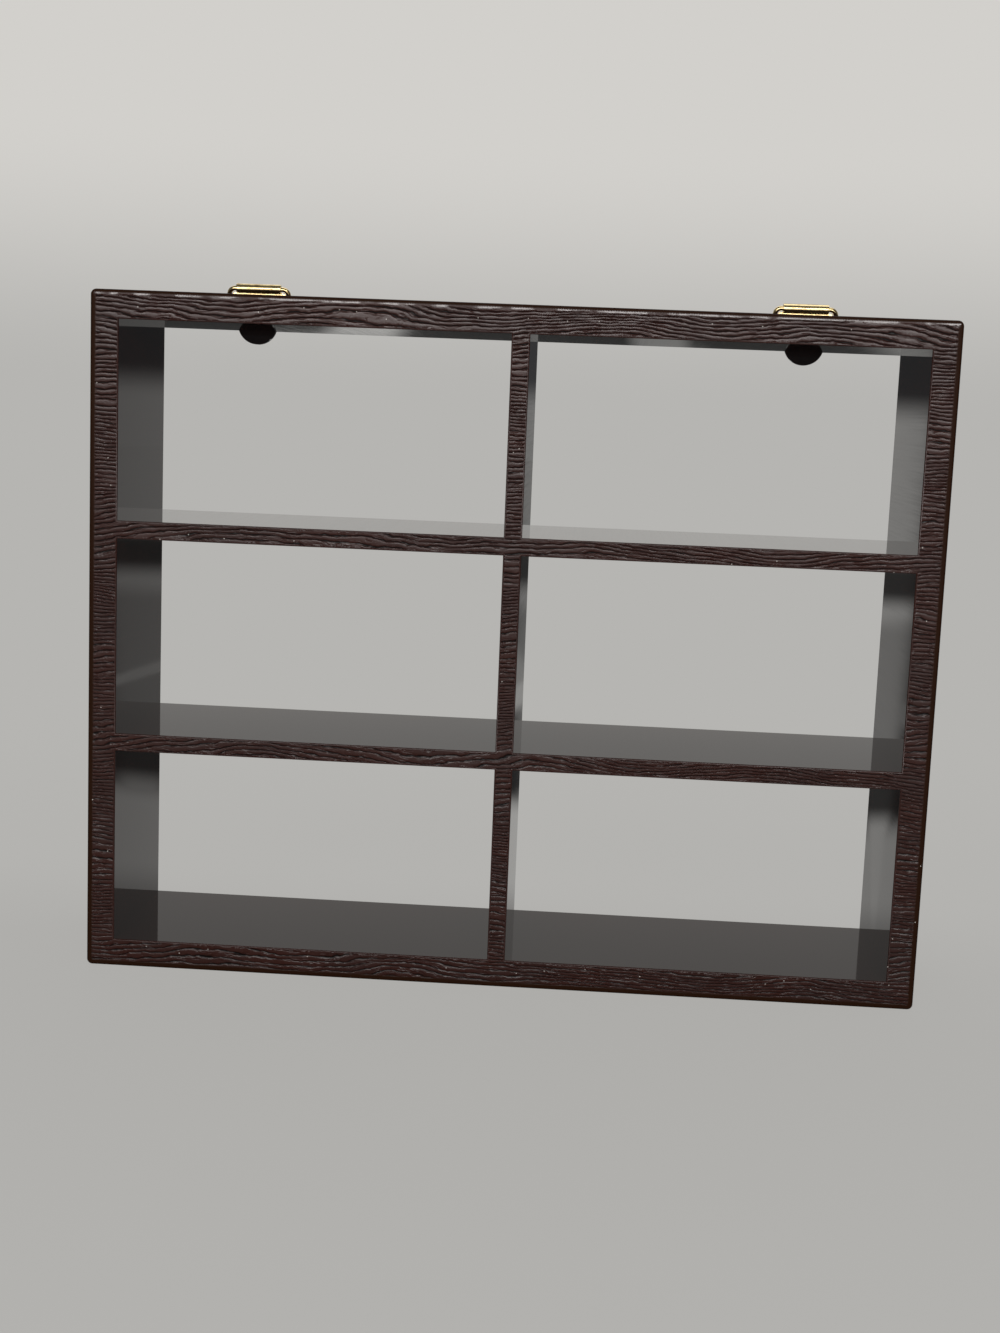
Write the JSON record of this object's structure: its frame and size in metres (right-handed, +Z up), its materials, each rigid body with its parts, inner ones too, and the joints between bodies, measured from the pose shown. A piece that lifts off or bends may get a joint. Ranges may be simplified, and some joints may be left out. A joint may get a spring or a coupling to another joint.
{
  "type": "shadow box shelf",
  "caption": "Open-backed shadow box shelf moulded in dark wood-grain plastic, a frame with a divider and shelves that make rectangular compartments, with brass hanging rings behind the top.",
  "frame": {"origin": "centre of the flat bottom face that the shelf stands on", "axes": "+X to the right as seen from the grained front, +Y from the front to the open back, +Z up"},
  "size_m": [0.305, 0.0697, 0.2544],
  "materials": {
    "moulding": "dark mahogany plastic, embossed wood grain on the front, smooth semi-gloss inside",
    "hanger_brass": "bright brass-plated steel sheet",
    "ring_brass": "bright brass-plated steel wire",
    "screw_brass": "brass-plated steel, slotted round head"
  },
  "bodies": {
    "shelf": {"moulded_grid": "moulding", "left_hanger_plate": "hanger_brass", "right_hanger_plate": "hanger_brass", "left_hanger_screw": "screw_brass", "right_hanger_screw": "screw_brass"},
    "left_ring": {"left_hanging_ring": "ring_brass"},
    "right_ring": {"right_hanging_ring": "ring_brass"}
  },
  "joints": [
    {"name": "left_ring_swing", "type": "hinge", "parent": "shelf", "child": "left_ring", "pos_m": [-0.1051, 0.03202, 0.2526], "axis": [1, 0, 0], "range_deg": [0, 274]},
    {"name": "right_ring_swing", "type": "hinge", "parent": "shelf", "child": "right_ring", "pos_m": [0.1051, 0.03202, 0.2526], "axis": [1, 0, 0], "range_deg": [0, 274]}
  ]
}
